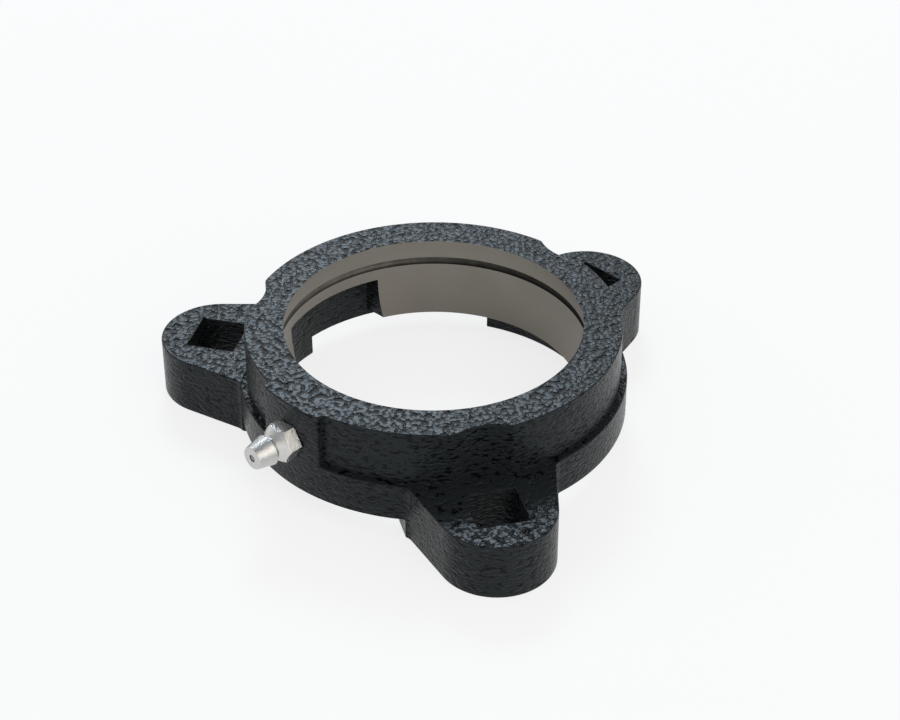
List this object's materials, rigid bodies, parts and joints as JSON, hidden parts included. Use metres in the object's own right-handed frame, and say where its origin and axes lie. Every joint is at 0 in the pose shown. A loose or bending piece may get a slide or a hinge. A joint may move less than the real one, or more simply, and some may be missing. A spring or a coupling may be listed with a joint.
{
  "type": "flange bearing housing",
  "caption": "Cast ring housing with lugs and square bolt holes, a machined spherical seat with loading slots for a bearing insert, and a grease fitting on its side.",
  "frame": {"origin": "on the bore axis, in the mounting plane under the three pads", "axes": "+Z along the bore axis, away from the mounting plane; +Y through the middle of one ear; the grease fitting points along -Y; +X completes the right-handed frame"},
  "size_m": [0.1026, 0.1054, 0.0234],
  "materials": {
    "housing": "wrinkled black paint, bare machined seat",
    "grease_fitting": "bright zinc plated",
    "check_ball": "polished",
    "check_spring": "drawn wire"
  },
  "bodies": {
    "housing": {"housing": "housing", "grease_fitting_body": "grease_fitting", "check_spring": "check_spring"},
    "check_ball": {"check_ball": "check_ball"}
  },
  "joints": [
    {"name": "check_ball_slide", "type": "slide", "parent": "housing", "child": "check_ball", "axis": [0, 1, 0], "range_m": [0, 0.001], "stiffness_N_per_m": 500, "springref_m": -0.002, "deforming": ["check_spring"]}
  ]
}
